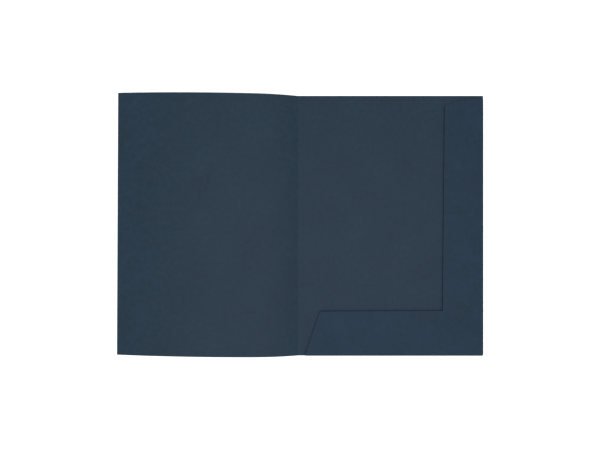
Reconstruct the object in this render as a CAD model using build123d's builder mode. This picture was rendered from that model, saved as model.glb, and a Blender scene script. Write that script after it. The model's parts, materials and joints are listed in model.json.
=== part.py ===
"""An open A4 folder of dark card: two covers on a double-scored spine, and an L-shaped pocket
that is folded in along the foot of the back cover and held down by a glue flap at its side.

Millimetres. The origin is the middle of the spine, on the table that the folder lies on.
X runs across the spine to the back cover, Y runs up the spine to the head, and Z is up.
"""

import os
from math import asin, atan2, cos, degrees, hypot, sin

from build123d import *

# The card and its panels
card = 0.5
cover_height = 310.0
back_width = 215.0
front_width = 215.0
spine_width = 6.0

# The front cover's bow: a tight bend by the score, then a shallow one out to the fore-edge,
# and how far that edge stands off the table
root_bend_radius = 176.0
root_bend_length = 52.0
bow_radius = 910.0
fore_edge_lift = 5.7

# The scores: a round bead of pressed card, with the panels' edges hollowed to turn about it
score_radius = 0.35
score_clearance = 0.03

# The L-shaped pocket: both arms narrow a little from the corner out to their free ends, and each
# end is slanted, the head one after a square part by its fold
pocket_room = 2.2
bottom_arm_corner_height = 53.7
bottom_arm_spine_height = 53.0
side_arm_foot_width = 48.7
side_arm_head_width = 46.2
pocket_spine_gap = 2.8
spine_end_slant = 17.6
pocket_head_gap = 4.2
head_end_flat = 20.5
head_end_slant = 8.0
pocket_corner_radius = 0.8

# The flap under the side arm, and its line of glue
flap_depth = 16.0
flap_taper = 8.0
flap_inset = 0.3
glue_film = 0.1
glue_width = 8.0
glue_end_margin = 6.0

# Where the panels meet, in plan
half_height = cover_height / 2
front_score_x = -spine_width / 2
back_score_x = spine_width / 2
fore_edge_x = back_score_x + back_width
groove_radius = score_radius + score_clearance

# The pocket's layers, from the back cover up
flap_low = card + glue_film
pocket_low = card + pocket_room
pocket_top = pocket_low + card

# The two bends: the foot fold wraps the whole pocket, the side fold stands on the glue
foot_fold_radius = pocket_top / 2
foot_fold_y = foot_fold_radius - half_height
side_fold_radius = (pocket_top - flap_low) / 2
side_fold_x = fore_edge_x - flap_inset - side_fold_radius
side_fold_z = flap_low + side_fold_radius

# The pocket's corners, in plan
pocket_spine_x = back_score_x + pocket_spine_gap
pocket_head_y = half_height - pocket_head_gap
bottom_arm_corner_y = bottom_arm_corner_height - half_height
bottom_arm_spine_y = bottom_arm_spine_height - half_height
side_fold_length = pocket_head_y - foot_fold_y

# The bow's two bends: how far they turn, how far the fore-edge then lies along the cover's first
# heading and below it, and the slope at which the cover has to leave its score
root_sweep = root_bend_length / root_bend_radius
bow_sweep = (front_width - root_bend_length) / bow_radius
full_sweep = root_sweep + bow_sweep
bow_reach = root_bend_radius * sin(root_sweep) + bow_radius * (sin(full_sweep) - sin(root_sweep))
bow_droop = root_bend_radius * (1 - cos(root_sweep)) + bow_radius * (cos(root_sweep) - cos(full_sweep))
bow_chord = hypot(bow_reach, bow_droop)
root_slope = atan2(bow_droop, bow_reach) + asin((fore_edge_lift - card / 2) / bow_chord)

os.makedirs("parts", exist_ok=True)

# Back cover: flat on the table, cut back along the foot to where the card bends up
with BuildPart() as back_cover:
    with BuildSketch():
        with BuildLine():
            Polyline(
                (back_score_x, half_height),
                (fore_edge_x, half_height),
                (fore_edge_x, foot_fold_y),
                (pocket_spine_x, foot_fold_y),
                (pocket_spine_x, -half_height),
                (back_score_x, -half_height),
                close=True,
            )
        make_face()
    extrude(amount=card)
    with BuildSketch(Plane.XZ):
        with Locations((back_score_x, score_radius)):
            Circle(groove_radius)
    extrude(amount=half_height, both=True, mode=Mode.SUBTRACT)
back_cover.part.label = "back_cover"
export_step(back_cover.part, "parts/back_cover.step")

# Back score: the bead between the back cover and the spine
with BuildPart() as back_score:
    with BuildSketch(Plane.XZ):
        with Locations((back_score_x, score_radius)):
            Circle(score_radius)
    extrude(amount=half_height, both=True)
back_score.part.label = "back_score"
export_step(back_score.part, "parts/back_score.step")

# Spine panel: the strip between the scores, hollowed along both edges
with BuildPart() as spine_panel:
    with BuildSketch():
        Rectangle(spine_width, cover_height)
    extrude(amount=card)
    with BuildSketch(Plane.XZ):
        with Locations((front_score_x, score_radius), (back_score_x, score_radius)):
            Circle(groove_radius)
    extrude(amount=half_height, both=True, mode=Mode.SUBTRACT)
spine_panel.part.label = "spine_panel"
export_step(spine_panel.part, "parts/spine_panel.step")

# Front score: the bead between the spine and the front cover
with BuildPart() as front_score:
    with BuildSketch(Plane.XZ):
        with Locations((front_score_x, score_radius)):
            Circle(score_radius)
    extrude(amount=half_height, both=True)
front_score.part.label = "front_score"
export_step(front_score.part, "parts/front_score.step")

# Front cover: card that springs up from its score, bends over and comes down to the fore-edge
with BuildPart() as front_cover:
    with BuildSketch(Plane.XZ):
        with BuildLine():
            root_bend = JernArc(
                start=(front_score_x, card / 2),
                tangent=(-cos(root_slope), sin(root_slope)),
                radius=root_bend_radius,
                arc_size=degrees(root_sweep),
            )
            JernArc(
                start=root_bend @ 1,
                tangent=root_bend % 1,
                radius=bow_radius,
                arc_size=degrees(bow_sweep),
            )
        trace(line_width=card)
    extrude(amount=half_height, both=True)
    with BuildSketch(Plane.XZ):
        with Locations((front_score_x, score_radius)):
            Circle(groove_radius)
    extrude(amount=half_height, both=True, mode=Mode.SUBTRACT)
front_cover.part.label = "front_cover"
export_step(front_cover.part, "parts/front_cover.step")

# Foot fold: the half-round bend that turns the back cover up into the pocket
with BuildPart() as foot_fold:
    with BuildSketch(Plane.YZ.offset(pocket_spine_x)):
        with BuildLine():
            CenterArc((foot_fold_y, foot_fold_radius), foot_fold_radius - card / 2, 90, 180)
        trace(line_width=card)
    extrude(amount=fore_edge_x - pocket_spine_x)
foot_fold.part.label = "foot_fold"
export_step(foot_fold.part, "parts/foot_fold.step")

# Pocket panel: one L, each arm longest along its fold and slanted back to its free edge
with BuildPart() as pocket_panel:
    with BuildSketch(Plane.XY.offset(pocket_low)) as pocket_outline:
        with BuildLine():
            Polyline(
                (pocket_spine_x, foot_fold_y),
                (side_fold_x, foot_fold_y),
                (side_fold_x, pocket_head_y),
                (fore_edge_x - head_end_flat, pocket_head_y),
                (fore_edge_x - side_arm_head_width, pocket_head_y - head_end_slant),
                (fore_edge_x - side_arm_foot_width, bottom_arm_corner_y),
                (pocket_spine_x + spine_end_slant, bottom_arm_spine_y),
                close=True,
            )
        make_face()
        corners = pocket_outline.vertices()
        foot_fold_corners = corners.group_by(Axis.Y)[0]
        side_fold_corners = corners.group_by(Axis.X)[-1]
        fillet(corners - foot_fold_corners - side_fold_corners, radius=pocket_corner_radius)
    extrude(amount=card)
pocket_panel.part.label = "pocket_panel"
export_step(pocket_panel.part, "parts/pocket_panel.step")

# Side fold: the half-round bend from the side arm down to its flap
with BuildPart() as side_fold:
    with BuildSketch(Plane.XZ.offset(-pocket_head_y)):
        with BuildLine():
            CenterArc((side_fold_x, side_fold_z), side_fold_radius - card / 2, -90, 180)
        trace(line_width=card)
    extrude(amount=side_fold_length)
side_fold.part.label = "side_fold"
export_step(side_fold.part, "parts/side_fold.step")

# Glue flap: under the side arm, with both ends tapered so that they stay out of sight
with BuildPart() as glue_flap:
    with BuildSketch(Plane.XY.offset(flap_low)):
        with BuildLine():
            Polyline(
                (side_fold_x, foot_fold_y),
                (side_fold_x, pocket_head_y),
                (side_fold_x - flap_depth, pocket_head_y - flap_taper),
                (side_fold_x - flap_depth, foot_fold_y + flap_taper),
                close=True,
            )
        make_face()
    extrude(amount=card)
glue_flap.part.label = "glue_flap"
export_step(glue_flap.part, "parts/glue_flap.step")

# Glue strip: the film of dried glue between the flap and the back cover
with BuildPart() as glue_strip:
    with BuildSketch(Plane.XY.offset(card)):
        with Locations((side_fold_x - flap_depth / 2, foot_fold_y + side_fold_length / 2)):
            Rectangle(glue_width, side_fold_length - 2 * (flap_taper + glue_end_margin))
    extrude(amount=glue_film)
glue_strip.part.label = "glue_strip"
export_step(glue_strip.part, "parts/glue_strip.step")
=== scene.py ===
import json
from math import asin, atan2, cos, hypot, pi, radians, sin, sqrt

import bmesh
import bpy
from mathutils import Matrix, Vector
from mathutils.geometry import intersect_point_line


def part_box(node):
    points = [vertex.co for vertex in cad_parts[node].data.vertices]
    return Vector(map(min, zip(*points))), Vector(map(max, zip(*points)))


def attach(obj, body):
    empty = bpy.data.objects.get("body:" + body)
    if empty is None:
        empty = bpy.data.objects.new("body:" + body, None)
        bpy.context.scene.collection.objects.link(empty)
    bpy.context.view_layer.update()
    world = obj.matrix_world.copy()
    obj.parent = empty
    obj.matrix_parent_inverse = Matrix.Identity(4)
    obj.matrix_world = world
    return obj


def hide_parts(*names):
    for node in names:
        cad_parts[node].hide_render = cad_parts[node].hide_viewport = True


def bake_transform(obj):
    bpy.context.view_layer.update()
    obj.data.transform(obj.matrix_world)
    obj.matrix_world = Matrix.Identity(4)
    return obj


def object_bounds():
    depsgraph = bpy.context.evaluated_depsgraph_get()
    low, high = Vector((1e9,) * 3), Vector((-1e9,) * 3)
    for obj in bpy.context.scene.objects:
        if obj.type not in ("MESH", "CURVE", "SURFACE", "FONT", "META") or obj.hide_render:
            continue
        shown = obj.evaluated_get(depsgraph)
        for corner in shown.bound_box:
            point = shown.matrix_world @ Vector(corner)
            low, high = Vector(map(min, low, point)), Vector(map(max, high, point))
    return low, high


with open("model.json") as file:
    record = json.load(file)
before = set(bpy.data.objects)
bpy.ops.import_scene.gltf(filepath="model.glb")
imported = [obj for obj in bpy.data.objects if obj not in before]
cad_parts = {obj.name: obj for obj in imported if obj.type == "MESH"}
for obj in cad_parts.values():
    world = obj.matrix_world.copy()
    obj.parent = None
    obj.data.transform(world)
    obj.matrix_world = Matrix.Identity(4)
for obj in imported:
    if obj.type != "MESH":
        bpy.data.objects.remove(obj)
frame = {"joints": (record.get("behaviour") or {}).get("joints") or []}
cad_low, cad_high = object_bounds()

# Back cover. The right half of one sheet of card, dyed dark blue right through and half a
# millimetre thick. It is die-cut at the head and the fore-edge and lies flat on the table; the
# same sheet carries on over the spine at one side and up into the pocket along the foot.

joints = {joint["name"]: joint for joint in frame["joints"]}
back_score = Vector(joints["back_score_fold"]["pos_m"])
back_low, back_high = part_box("back_cover")
foot_fold_low, foot_fold_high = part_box("foot_fold")
card = back_high.z - back_low.z
head = back_high.y
foot = back_low.y
fore_edge = back_high.x
foot_fold_start = foot_fold_high.y
slit = foot_fold_low.x
crease_half_width = 0.0009
back_root = back_score.x + crease_half_width
cut_rounding = 0.00009
cut_rounding_steps = 3
cut_angle = radians(60)
crisp_angle = radians(40)
blunted_corner = 0.0008
corner_steps = 4
worn_margin = 0.0012
back_columns = 12
back_rows = 16
same_place = 0.000002


def between(low, high, count):
    """The places that divide a length evenly into count."""
    return [low + (high - low) * number / count for number in range(1, count)]


def divide(shape, columns, rows):
    """Cuts the faces of a shape along lines up it and across it."""
    lines = [(Vector((x, 0, 0)), Vector((1, 0, 0))) for x in columns]
    lines += [(Vector((0, y, 0)), Vector((0, 1, 0))) for y in rows]
    for place, across in lines:
        everything = shape.verts[:] + shape.edges[:] + shape.faces[:]
        bmesh.ops.bisect_plane(shape, geom=everything, dist=same_place, plane_co=place, plane_no=across)


def thicken(flat, thickness):
    """Makes a flat shape into a closed layer of this thickness, upwards from where it lies."""
    grown = bmesh.ops.extrude_face_region(flat, geom=flat.faces[:], use_keep_orig=True)
    top = [item for item in grown["geom"] if isinstance(item, bmesh.types.BMVert)]
    bmesh.ops.translate(flat, verts=top, vec=(0, 0, thickness))
    bmesh.ops.recalc_face_normals(flat, faces=flat.faces[:])


def round_off(shape, sharp, affect, radius, steps):
    """Rounds the sharp corners or edges of a shape."""
    bmesh.ops.bevel(
        shape,
        geom=sharp,
        offset=radius,
        segments=steps,
        profile=0.5,
        affect=affect,
        material=-1,
        clamp_overlap=True,
    )


def cut_card(outline, underside, columns, rows, rounded=(), corner_radius=0, margin=worn_margin):
    """A flat panel of card with some of its corners rounded, divided for bending and wear."""
    panel = bmesh.new()
    corners = [panel.verts.new((x, y, underside)) for x, y in outline]
    panel.faces.new(corners)
    panel.normal_update()
    if rounded:
        sharp = [corner for corner, place in zip(corners, outline) if place in rounded]
        round_off(panel, sharp, "VERTICES", corner_radius, corner_steps)
    if margin:
        bmesh.ops.inset_region(
            panel,
            faces=panel.faces[:],
            thickness=margin,
            use_even_offset=True,
            use_boundary=True,
        )
    divide(panel, columns, rows)
    thicken(panel, card)
    return panel


def round_cuts(panel, joined):
    """Rounds the rim that the die leaves, except where the card is joined to what comes next."""
    rim = []
    for edge in panel.edges:
        middle = (edge.verts[0].co + edge.verts[1].co) / 2
        if edge.calc_face_angle(0) > cut_angle and not joined(middle):
            rim.append(edge)
    round_off(panel, rim, "EDGES", cut_rounding, cut_rounding_steps)


def paint(panel, layer_name, amount):
    """Keeps a number at each point of the card, for its finish to read."""
    panel.normal_update()
    layer = panel.verts.layers.float.new(layer_name)
    for point in panel.verts:
        point[layer] = amount(point)


def wear(distance):
    """How rubbed the card is at this distance from a cut edge."""
    return max(0, 1 - distance / worn_margin)


def facing_down(point):
    """1 on the underside of the card and 0 on its top."""
    return 1 if point.normal.z < 0 else 0


def back_cover_joined(place):
    """Whether a place on the back cover's rim is where it meets its crease or its foot fold."""
    at_crease = place.x < back_root + same_place
    at_fold = place.y < foot_fold_start + same_place and place.x > slit + same_place
    return at_crease or at_fold


back_shape = cut_card(
    (
        (back_root, head),
        (back_root, foot),
        (slit, foot),
        (slit, foot_fold_start),
        (fore_edge, foot_fold_start),
        (fore_edge, head),
    ),
    back_low.z,
    [*between(back_root, fore_edge, back_columns), fore_edge - worn_margin],
    [*between(foot, head, back_rows), head - worn_margin],
    rounded=((fore_edge, head),),
    corner_radius=blunted_corner,
    margin=0,
)
round_cuts(back_shape, back_cover_joined)
paint(back_shape, "outside", facing_down)
paint(back_shape, "worn", lambda point: wear(min(head - point.co.y, fore_edge - point.co.x)))

inside_dye = (0.0172, 0.0386, 0.0676, 1)
outside_dye = (0.0174, 0.0391, 0.0702, 1)
fibre_dye = (0.050, 0.078, 0.112, 1)
# The paler blue of rubbed edges, also used for the painted highlight along each cut rim.
rubbed_and_highlight_dye = (0.045, 0.068, 0.098, 1)
sheen = (1.0, 0.95, 0.75, 1)
patch_middle = 0.5
cloud_size = 0.045
cloud_detail = 4
cloud_depth = 0.36
mottle_size = 0.0058
mottle_detail = 3
mottle_depth = 0.58
mottle_roughness = 0.16
mottle_relief = 0.5
felt_size = 0.00085
felt_detail = 3
felt_depth = 0.30
felt_relief = 0.6
tooth_size = 0.00028
tooth_detail = 2
tooth_depth = 0.45
tooth_relief = 0.5
fibre_width = 0.00022
fibre_length = 0.0024
fibre_lies = (radians(4), radians(38), radians(-29), radians(81))
fibre_layer = 0.01
fibre_detail = 1
fibre_limits = (0.60, 0.74)
fibre_share = 0.16
fibre_relief = 0.25
least_rubbed = 0.08
rubbed_limits = (0.40, 0.62)
rubbed_patches = 0.24
rubbed_roughness = 0.10
# A thin painted highlight right at the rim of each cut edge, standing in for the edge catching the
# light.
painted_rim_highlight = 0.45
rim_highlight_sharpness = 6
inside_roughness = 0.52
outside_roughness = 0.62
card_gloss = 0.15
card_relief = 0.00005
relief_strength = 0.6


class Shade:
    """One value in a finish. Sums with it add Math nodes, and node adds any other kind."""

    def __init__(self, tree, socket=None):
        self.tree = tree
        self.socket = socket

    def node(self, kind, sockets=None, output=None, **settings):
        """Adds a node with these settings and these values or links, and gives one of its outputs."""
        made = self.tree.nodes.new("ShaderNode" + kind)
        for name, setting in settings.items():
            setattr(made, name, setting)
        for name, value in (sockets or {}).items():
            socket = next(found for found in made.inputs if found.identifier == name)
            if isinstance(value, Shade):
                self.tree.links.new(value.socket, socket)
            else:
                socket.default_value = value
        outputs = [found for found in made.outputs if output in (None, found.identifier)]
        return Shade(self.tree, outputs[0] if outputs else None)

    def math(self, operation, first, second):
        return self.node("Math", {"Value": first, "Value_001": second}, operation=operation)

    def __add__(self, other):
        return self.math("ADD", self, other)

    def __sub__(self, other):
        return self.math("SUBTRACT", self, other)

    def __rsub__(self, other):
        return self.math("SUBTRACT", other, self)

    def __mul__(self, other):
        return self.math("MULTIPLY", self, other)

    def __pow__(self, power):
        return self.math("POWER", self, power)

    __radd__ = __add__
    __rmul__ = __mul__

    def step(self, low, high):
        """0 below low, 1 above high, and a smooth rise between them."""
        limits = {"Value": self, "From Min": low, "From Max": high}
        return self.node("MapRange", limits, interpolation_type="SMOOTHSTEP")

    def mix(self, under, over, share, blend_type="MIX"):
        """The colour under, turned towards the colour over by this share."""
        colours = {"Factor_Float": share, "A_Color": under, "B_Color": over}
        return self.node("Mix", colours, "Result_Color", data_type="RGBA", blend_type=blend_type)

    def clouds(self, size, detail):
        """Soft patches of about this size, at the places that this value gives."""
        return self.node("TexNoise", {"Vector": self, "Scale": 1 / size, "Detail": detail})


def new_finish(name):
    """An empty material, and the value that its nodes start from."""
    material = bpy.data.materials.new(name)
    material.use_nodes = True
    material.node_tree.nodes.clear()
    return material, Shade(material.node_tree)


def lying_fibres(place, lie, layer):
    """Fine streaks that lie along one direction, where fibres show in the card."""
    turned = {
        "Vector": place,
        "Location": (0, 0, layer * fibre_layer),
        "Rotation": (0, 0, lie),
        "Scale": (fibre_width, fibre_length, fibre_width),
    }
    along = place.node("Mapping", turned, vector_type="TEXTURE")
    return along.clouds(1, fibre_detail).step(*fibre_limits)


def dyed_card(name):
    """Card dyed in the pulp: cloudy colour, fine fibres, a felt-like tooth, paler rubbed edges and a
    painted rim highlight.
    """
    material, finish = new_finish(name)
    place = finish.node("TexCoord", output="Object")
    outside = finish.node("Attribute", output="Fac", attribute_name="outside")
    worn = finish.node("Attribute", output="Fac", attribute_name="worn")
    cloud = place.clouds(cloud_size, cloud_detail)
    mottle = place.clouds(mottle_size, mottle_detail)
    felt = place.clouds(felt_size, felt_detail)
    tooth = place.clouds(tooth_size, tooth_detail)
    fibres = sum(lying_fibres(place, lie, layer) for layer, lie in enumerate(fibre_lies))

    layers = ((cloud, cloud_depth), (mottle, mottle_depth), (felt, felt_depth), (tooth, tooth_depth))
    brightness = 1
    for patches, depth in layers:
        brightness = brightness + (patches - patch_middle) * depth
    patchy = least_rubbed + felt.step(*rubbed_limits) * rubbed_patches
    # rubbed holds real edge wear in patches plus the painted rim highlight, a thin paler line at the
    # very edge.
    rubbed = worn * patchy + worn**rim_highlight_sharpness * painted_rim_highlight
    colour = finish.mix(inside_dye, outside_dye, outside)
    colour = finish.mix(colour, brightness, 1, "MULTIPLY")
    colour = finish.mix(colour, fibre_dye, fibres * fibre_share)
    colour = finish.mix(colour, rubbed_and_highlight_dye, rubbed)

    roughness = inside_roughness + outside * (outside_roughness - inside_roughness)
    roughness = roughness + (mottle - patch_middle) * mottle_roughness + rubbed * rubbed_roughness
    height = felt * felt_relief + mottle * mottle_relief + tooth * tooth_relief + fibres * fibre_relief
    relief = {"Strength": relief_strength, "Distance": card_relief, "Height": height}
    shader = finish.node(
        "BsdfPrincipled",
        {
            "Base Color": colour,
            "Roughness": roughness,
            "Specular IOR Level": card_gloss,
            "Specular Tint": sheen,
            "Normal": finish.node("Bump", relief),
        },
    )
    finish.node("OutputMaterial", {"Surface": shader})
    return material


def make_piece(name, shape, material):
    """Makes an object of a finished shape, smooth but for its corners."""
    mesh = bpy.data.meshes.new(name)
    shape.to_mesh(mesh)
    shape.free()
    mesh.shade_smooth()
    mesh.set_sharp_from_angle(angle=crisp_angle)
    mesh.materials.append(material)
    piece = bpy.data.objects.new(name, mesh)
    bpy.context.scene.collection.objects.link(piece)
    return piece


plain_card = dyed_card("card")
back_card = make_piece("back_cover_card", back_shape, plain_card)
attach(back_card, "back")
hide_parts("back_cover")

# Creases. Two lines pressed into the card by a steel rule, one each side of the spine, so that
# the covers fold up cleanly. Each leaves a groove outside and a raised bead of loosened fibres
# inside, paler along its crest. The front one is bent a little, because its cover springs up.

front_score = Vector(joints["front_score_fold"]["pos_m"])
bead_half_width = 0.00045
bead_height = 0.00010
bead_wear = 0.20
groove_depth = 0.00012
crease_columns = 24
crease_rows = 24

# The front cover's two bends give the slope at which it leaves its crease.
front_width = 0.215
root_bend_radius = 0.176
root_bend_length = 0.052
bow_radius = 0.910
fore_edge_lift = 0.0057
root_sweep = root_bend_length / root_bend_radius
bow_sweep = (front_width - root_bend_length) / bow_radius
full_sweep = root_sweep + bow_sweep
bow_reach = root_bend_radius * sin(root_sweep) + bow_radius * (sin(full_sweep) - sin(root_sweep))
bow_droop = root_bend_radius * (1 - cos(root_sweep)) + bow_radius * (cos(root_sweep) - cos(full_sweep))
bow_chord = hypot(bow_reach, bow_droop)
root_slope = atan2(bow_droop, bow_reach) + asin((fore_edge_lift - card / 2) / bow_chord)
crease_sweep = crease_half_width / root_bend_radius
crease_slope = root_slope - crease_sweep


def hump(distance, half_width):
    """A smooth rise from 0 at the half-width to 1 in the middle."""
    return (1 + cos(pi * min(1, abs(distance) / half_width))) / 2


def eased(share):
    """An even rise from 0 to 1 made smooth, so that it is level at both ends."""
    return share * share * (3 - 2 * share)


def end_wear(point):
    """How rubbed the card is at the head and the foot."""
    return wear(min(head - point.co.y, point.co.y - foot))


def creased_card(score):
    """The strip of card along a score, pressed but not yet bent."""
    near = score.x - crease_half_width
    far = score.x + crease_half_width
    strip = cut_card(
        ((near, head), (near, foot), (far, foot), (far, head)),
        back_low.z,
        between(near, far, crease_columns),
        [foot + worn_margin, *between(foot, head, crease_rows), head - worn_margin],
        margin=0,
    )
    round_cuts(strip, lambda place: abs(place.x - score.x) > crease_half_width - same_place)

    def crest(point):
        return hump(point.co.x - score.x, bead_half_width)

    paint(strip, "outside", facing_down)
    paint(strip, "worn", lambda point: max(end_wear(point), bead_wear * crest(point)))
    for point in strip.verts:
        on_top = point.co.z > back_low.z + card / 2
        point.co.z += crest(point) * (bead_height if on_top else groove_depth)
    return strip


def bend_up(strip, score, angle):
    """Turns a creased strip up about its score, a little at a time from one side to the other."""
    for point in strip.verts:
        share = (score.x + crease_half_width - point.co.x) / (2 * crease_half_width)
        turn = Matrix.Rotation(angle * eased(share), 3, "Y")
        point.co = score + turn @ (point.co - score)


scored_card = dyed_card("scored_card")
back_crease = make_piece("back_crease", creased_card(back_score), scored_card)
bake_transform(back_crease)
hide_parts("back_score")

front_strip = creased_card(front_score)
bend_up(front_strip, front_score, crease_slope)
front_crease = make_piece("front_crease", front_strip, scored_card)
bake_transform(front_crease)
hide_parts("front_score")

# Spine. The narrow strip between the two creases, six millimetres from score to score, of the
# same card. It lies flat while the folder is open and stands up when it is shut.

spine_left = front_score.x + crease_half_width
spine_right = back_score.x - crease_half_width
spine_columns = 4

spine_shape = cut_card(
    ((spine_left, head), (spine_left, foot), (spine_right, foot), (spine_right, head)),
    back_low.z,
    between(spine_left, spine_right, spine_columns),
    between(foot, head, crease_rows),
)
round_cuts(spine_shape, lambda place: min(place.x - spine_left, spine_right - place.x) < same_place)
paint(spine_shape, "outside", facing_down)
paint(spine_shape, "worn", end_wear)
spine_card = make_piece("spine_card", spine_shape, plain_card)
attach(spine_card, "spine")
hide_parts("spine_panel")

# Front cover. The left half of the sheet, plain, with no pocket. It springs up from its crease,
# bends over beside the spine and comes down in a shallow bow to the fore-edge, which hangs just
# off the table and a little askew.

cover_skew = 0.0023
cover_lean = 0.0007
cover_rows = 40
root_bend_steps = 16
bow_steps = 30


def bent_card(section, divisions, bends):
    """Card swept from its cut section through one bend after another, and closed at both ends."""
    bent = bmesh.new()
    corners = [bent.verts.new(corner) for corner in section]
    sides = [bent.edges.new(pair) for pair in zip(corners, corners[1:] + corners[:1])]
    long_sides = sorted(sides, key=lambda side: side.calc_length())[-2:]
    bmesh.ops.subdivide_edges(bent, edges=long_sides, cuts=divisions - 1)
    swept = bent.verts[:] + bent.edges[:]
    for centre, axis, angle, steps in bends:
        spun = bmesh.ops.spin(bent, geom=swept, cent=centre, axis=axis, angle=angle, steps=steps)
        swept = spun["geom_last"]
    bmesh.ops.holes_fill(bent, edges=[edge for edge in bent.edges if edge.is_boundary], sides=0)
    bmesh.ops.recalc_face_normals(bent, faces=bent.faces[:])
    return bent


heading = Vector((-cos(crease_slope), 0, sin(crease_slope)))
upward = Vector((sin(crease_slope), 0, cos(crease_slope)))
root = front_score + heading * crease_half_width + upward * (back_low.z + card / 2 - front_score.z)
root_centre = root - upward * root_bend_radius
bow_upward = Matrix.Rotation(crease_sweep - root_sweep, 3, "Y") @ upward
bow_centre = root_centre + bow_upward * (root_bend_radius - bow_radius)
cover_shape = bent_card(
    [
        root + upward * side * card / 2 + Vector((0, end, 0))
        for side, end in ((1, head), (1, foot), (-1, foot), (-1, head))
    ],
    cover_rows,
    [
        (root_centre, (0, 1, 0), crease_sweep - root_sweep, root_bend_steps),
        (bow_centre, (0, 1, 0), -bow_sweep, bow_steps),
    ],
)
cover_edge = min(point.co.x for point in cover_shape.verts)


def at_free_corner(edge):
    """Whether an edge runs through the card at one of the two ends of the fore-edge."""
    farthest = max(point.co.x for point in edge.verts)
    return farthest < cover_edge + card and edge.calc_length() < 2 * card


free_corners = [edge for edge in cover_shape.edges if at_free_corner(edge)]
round_off(cover_shape, free_corners, "EDGES", blunted_corner, corner_steps)
divide(cover_shape, [cover_edge + worn_margin], [foot + worn_margin, head - worn_margin])
round_cuts(cover_shape, lambda place: (place - root).dot(heading) < same_place)
paint(cover_shape, "outside", facing_down)
paint(cover_shape, "worn", lambda point: max(end_wear(point), wear(point.co.x - cover_edge)))
for point in cover_shape.verts:
    out = (root.x - point.co.x) / (root.x - cover_edge)
    point.co.x += cover_lean * out * point.co.y / head
    point.co.y += cover_skew * out
cover_card = make_piece("front_cover_card", cover_shape, plain_card)
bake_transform(cover_card)
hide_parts("front_cover")

# Foot fold. The half-round bend along the foot, where the sheet turns up and over into the pocket
# with its outside face showing. The stretched fibres along it are a little paler. At the fore-edge
# the die trims it back on a slant to the pocket's own side, so that no corner sticks out.

pocket_low, pocket_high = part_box("pocket_panel")
side_fold_start = pocket_high.x
foot_fold_centre = (foot_fold_low.z + foot_fold_high.z) / 2
foot_fold_radius = (foot_fold_high.z - foot_fold_low.z) / 2
foot_fold_columns = 40
fold_steps = 20
fold_wear = 0.10
fold_wear_sharpness = 3
trimmed_length = 0.006


def outer_face(place, centre, radius):
    """1 on the outer face of a fold of this radius and 0 on its inner face."""
    return 1 if (place - centre).length > radius - card / 2 else 0


def stretched(outward):
    """How pale a fold is where its face points outward by this share."""
    return fold_wear * max(0, outward) ** fold_wear_sharpness


foot_fold_shape = bent_card(
    [
        (slit, foot_fold_start, back_low.z),
        (fore_edge, foot_fold_start, back_low.z),
        (fore_edge, foot_fold_start, back_low.z + card),
        (slit, foot_fold_start, back_low.z + card),
    ],
    foot_fold_columns,
    [((0, foot_fold_start, foot_fold_centre), (1, 0, 0), -pi, fold_steps)],
)
foot_fold_axis = Vector((foot_fold_start, foot_fold_centre))
divide(foot_fold_shape, [slit + worn_margin, fore_edge - worn_margin], [])
round_cuts(foot_fold_shape, lambda place: place.y > foot_fold_start - same_place)
paint(
    foot_fold_shape,
    "outside",
    lambda point: outer_face(point.co.yz, foot_fold_axis, foot_fold_radius),
)
paint(
    foot_fold_shape,
    "worn",
    lambda point: max(
        wear(min(point.co.x - slit, fore_edge - point.co.x)),
        stretched(-point.normal.y),
    ),
)
for point in foot_fold_shape.verts:
    round_fold = atan2(foot_fold_start - point.co.y, foot_fold_centre - point.co.z) / pi
    near_end = max(0, 1 - (fore_edge - point.co.x) / trimmed_length)
    point.co.x -= (fore_edge - side_fold_start) * near_end * max(0, round_fold)
folded_card = dyed_card("folded_card")
foot_bend = make_piece("foot_bend", foot_fold_shape, folded_card)
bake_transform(foot_bend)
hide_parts("foot_fold")

# Pocket. One L-shaped panel of the same sheet, folded in from the foot, with a low arm along the
# foot and a narrow arm up the fore-edge. Each arm's end is die-cut on a slant. The side arm's free
# edge lies a little lower than its fold, and the bottom arm's gapes a little.

pocket_head = pocket_high.y
bottom_arm_corner_height = 0.0537
bottom_arm_spine_height = 0.0530
side_arm_foot_width = 0.0487
side_arm_head_width = 0.0462
spine_end_slant = 0.0176
head_end_flat = 0.0205
head_end_slant = 0.008
pocket_corner_radius = 0.0008
side_arm_sag = 0.0006
bottom_arm_lift = 0.0002
pocket_columns = 35
pocket_rows = 44


def pocket_joined(place):
    """Whether a place on the pocket's rim is on one of its two folds."""
    return place.y < foot_fold_start + same_place or place.x > side_fold_start - same_place


def edge_wear(point, corners):
    """How rubbed a panel is, by its distance from the nearest of the edges along these corners."""
    flat = Vector((point.co.x, point.co.y))
    nearest = worn_margin
    for start, end in zip(corners, corners[1:]):
        share = intersect_point_line(flat, Vector(start), Vector(end))[1]
        on_edge = Vector(start).lerp(Vector(end), min(1, max(0, share)))
        nearest = min(nearest, (on_edge - flat).length)
    return wear(nearest)


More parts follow.
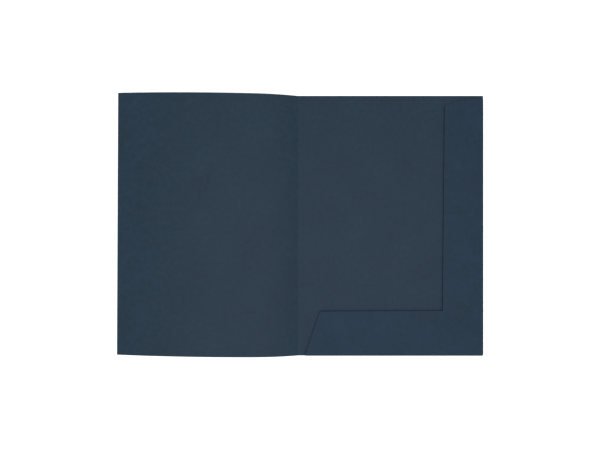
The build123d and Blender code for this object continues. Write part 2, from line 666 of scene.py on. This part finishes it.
pocket_corners = (
    (side_fold_start, pocket_head),
    (fore_edge - head_end_flat, pocket_head),
    (fore_edge - side_arm_head_width, pocket_head - head_end_slant),
    (fore_edge - side_arm_foot_width, foot + bottom_arm_corner_height),
    (slit + spine_end_slant, foot + bottom_arm_spine_height),
    (slit, foot_fold_start),
)
pocket_shape = cut_card(
    ((side_fold_start, foot_fold_start), *pocket_corners),
    pocket_low.z,
    between(slit, side_fold_start, pocket_columns),
    between(foot_fold_start, pocket_head, pocket_rows),
    rounded=pocket_corners[1:-1],
    corner_radius=pocket_corner_radius,
)
round_cuts(pocket_shape, pocket_joined)
paint(pocket_shape, "outside", lambda point: 1 - facing_down(point))
paint(pocket_shape, "worn", lambda point: edge_wear(point, pocket_corners))
for point in pocket_shape.verts:
    up = max(0, point.co.y - foot_fold_start) / bottom_arm_corner_height
    across = max(0, side_fold_start - point.co.x) / side_arm_foot_width
    reach = max(hypot(up, across), same_place)
    side_arm_share = (up / reach) ** 2
    rise = bottom_arm_lift * (1 - side_arm_share) - side_arm_sag * side_arm_share
    point.co.z += rise * eased(min(1, up * across / reach))
pocket_card = make_piece("pocket_card", pocket_shape, plain_card)
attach(pocket_card, "pocket")
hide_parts("pocket_panel")

# Side fold. The half-round bend up the fore-edge, from the pocket's side arm down to the glue flap
# under it, of the same card with its outside face showing.

side_fold_low, side_fold_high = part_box("side_fold")
side_fold_centre = (side_fold_low.z + side_fold_high.z) / 2
side_fold_radius = (side_fold_high.z - side_fold_low.z) / 2
side_fold_rows = 56

side_fold_shape = bent_card(
    [
        (side_fold_start, foot_fold_start, pocket_low.z),
        (side_fold_start, pocket_head, pocket_low.z),
        (side_fold_start, pocket_head, pocket_low.z + card),
        (side_fold_start, foot_fold_start, pocket_low.z + card),
    ],
    side_fold_rows,
    [((side_fold_start, 0, side_fold_centre), (0, 1, 0), pi, fold_steps)],
)
side_fold_axis = Vector((side_fold_start, side_fold_centre))
divide(side_fold_shape, [], [foot_fold_start + worn_margin, pocket_head - worn_margin])
round_cuts(side_fold_shape, lambda place: place.x < side_fold_start + same_place)
paint(
    side_fold_shape,
    "outside",
    lambda point: outer_face(point.co.xz, side_fold_axis, side_fold_radius),
)
paint(
    side_fold_shape,
    "worn",
    lambda point: max(wear(pocket_head - point.co.y), stretched(point.normal.x)),
)
side_bend = make_piece("side_bend", side_fold_shape, folded_card)
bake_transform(side_bend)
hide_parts("side_fold")

# Glue flap. The last strip of the sheet, under the side arm, folded in from the side fold with its
# outside face down on the back cover. Both ends are tapered, so that they stay out of sight.

flap_low, flap_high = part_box("glue_flap")
flap_taper = 0.008
flap_columns = 3

flap_corners = (
    (flap_high.x, flap_high.y),
    (flap_low.x, flap_high.y - flap_taper),
    (flap_low.x, flap_low.y + flap_taper),
    (flap_high.x, flap_low.y),
)
flap_shape = cut_card(
    flap_corners,
    flap_low.z,
    between(flap_low.x, flap_high.x, flap_columns),
    between(flap_low.y, flap_high.y, side_fold_rows),
)
round_cuts(flap_shape, lambda place: place.x > flap_high.x - same_place)
paint(flap_shape, "outside", facing_down)
paint(flap_shape, "worn", lambda point: edge_wear(point, flap_corners))
flap_card = make_piece("glue_flap_card", flap_shape, plain_card)
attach(flap_card, "back")
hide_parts("glue_flap")

# Glue. A line of white glue, laid up the back cover and pressed to a thin film under the flap. It
# has spread unevenly, so its sides waver, and it has dried cream where it is thick.

glue_low, glue_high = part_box("glue_strip")
glue_size = glue_high - glue_low
glue_middle = (glue_low + glue_high) / 2
glue_columns = 6
glue_rows = 120
glue_waver = 0.0006
glue_waves = (0.043, 0.017)
glue_end_length = 0.004
glue_end_share = 0.3
glue_cream = (0.52, 0.48, 0.36, 1)
glue_thin = (0.20, 0.22, 0.22, 1)
glue_streak = 0.004
glue_detail = 3
glue_limits = (0.35, 0.65)
glue_roughness = 0.28
glue_thick_roughness = 0.2
glue_relief = 0.00003
glue_relief_strength = 0.5

glue_shape = bmesh.new()
bmesh.ops.create_grid(glue_shape, x_segments=glue_columns, y_segments=glue_rows, size=1)
bmesh.ops.scale(glue_shape, verts=glue_shape.verts[:], vec=(glue_size.x / 2, glue_size.y / 2, 1))
bmesh.ops.translate(
    glue_shape,
    verts=glue_shape.verts[:],
    vec=(glue_middle.x, glue_middle.y, glue_low.z),
)
for point in glue_shape.verts:
    aside = 2 * (point.co.x - glue_middle.x) / glue_size.x
    from_end = min(point.co.y - glue_low.y, glue_high.y - point.co.y)
    end_share = sqrt(1 - (1 - min(1, from_end / glue_end_length)) ** 2)
    waver = glue_waver * sum(sin(2 * pi * point.co.y / wave + aside) for wave in glue_waves)
    point.co.x = glue_middle.x + aside * (glue_size.x / 2 + waver) * max(glue_end_share, end_share)
thicken(glue_shape, glue_size.z)


def dried_glue(name):
    """Dried glue: cream where it is thick and the card showing through where it is thin."""
    material, finish = new_finish(name)
    place = finish.node("TexCoord", output="Object")
    thickness = place.clouds(glue_streak, glue_detail).step(*glue_limits)
    relief = {"Strength": glue_relief_strength, "Distance": glue_relief, "Height": thickness}
    shader = finish.node(
        "BsdfPrincipled",
        {
            "Base Color": finish.mix(glue_thin, glue_cream, thickness),
            "Roughness": glue_roughness + thickness * glue_thick_roughness,
            "Normal": finish.node("Bump", relief),
        },
    )
    finish.node("OutputMaterial", {"Surface": shader})
    return material


glue_film = make_piece("glue_film", glue_shape, dried_glue("glue"))
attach(glue_film, "back")
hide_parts("glue_strip")

# Table and light. A white table under a large soft lamp overhead, a little towards the foot, with
# an even white fill from all round. The table and the room look white to the camera, but throw
# less light than that on the folder.

table_half_width = 3
table_drop = 0.00005
table_white = (0.86, 0.86, 0.86, 1)
table_glow = 0.69
table_bounce = (0.50, 0.50, 0.50, 1)
white = (1, 1, 1, 1)
fill = 0.37
lamp_power = 8.85
lamp_width = 1.3
lamp_place = (0.04, -0.19, 1.2)


def seen_or_thrown(finish, seen, thrown):
    """One look for the camera, straight or in a shiny or clear surface, and one to light the folder."""
    kinds = ("Is Camera Ray", "Is Glossy Ray", "Is Transmission Ray")
    rays = sum(finish.node("LightPath", output=kind) for kind in kinds)
    return finish.node("MixShader", {"Fac": rays, "Shader": thrown, "Shader_001": seen})


table_shape = bmesh.new()
bmesh.ops.create_grid(table_shape, x_segments=1, y_segments=1, size=table_half_width)
bmesh.ops.translate(table_shape, verts=table_shape.verts[:], vec=(0, 0, cad_low.z - table_drop))
table_material, table_top = new_finish("white_table")
plain_white = table_top.node("BsdfDiffuse", {"Color": table_white})
glow = table_top.node("Emission", {"Color": white, "Strength": table_glow})
glowing_white = table_top.node("AddShader", {"Shader": plain_white, "Shader_001": glow})
bounced = table_top.node("BsdfDiffuse", {"Color": table_bounce})
table_top.node("OutputMaterial", {"Surface": seen_or_thrown(table_top, glowing_white, bounced)})
table = make_piece("table", table_shape, table_material)

world = bpy.data.worlds.new("white_room")
world.use_nodes = True
world.node_tree.nodes.clear()
room = Shade(world.node_tree)
room_fill = room.node("Background", {"Color": white, "Strength": fill})
room_white = room.node("Background", {"Color": white, "Strength": 1})
room.node("OutputWorld", {"Surface": seen_or_thrown(room, room_white, room_fill)})
bpy.context.scene.world = world

lamp = bpy.data.lights.new("soft_lamp", "AREA")
lamp.energy = lamp_power
lamp.size = lamp_width
lamp_object = bpy.data.objects.new("soft_lamp", lamp)
lamp_object.location = lamp_place
bpy.context.scene.collection.objects.link(lamp_object)

# Camera. Straight above the open folder and looking down, with the folder's head at the top, and
# near enough for the crest of the bowed cover to look larger than the flat back cover.

camera_place = (-0.00053, 0.00083, 0.620)
camera_sensor = 36
camera_lens = 31.14

camera = bpy.data.cameras.new("camera")
camera.sensor_width = camera_sensor
camera.lens = camera_lens
camera_object = bpy.data.objects.new("camera", camera)
camera_object.location = camera_place
bpy.context.scene.collection.objects.link(camera_object)
bpy.context.scene.camera = camera_object
bpy.context.scene.view_settings.view_transform = "Standard"
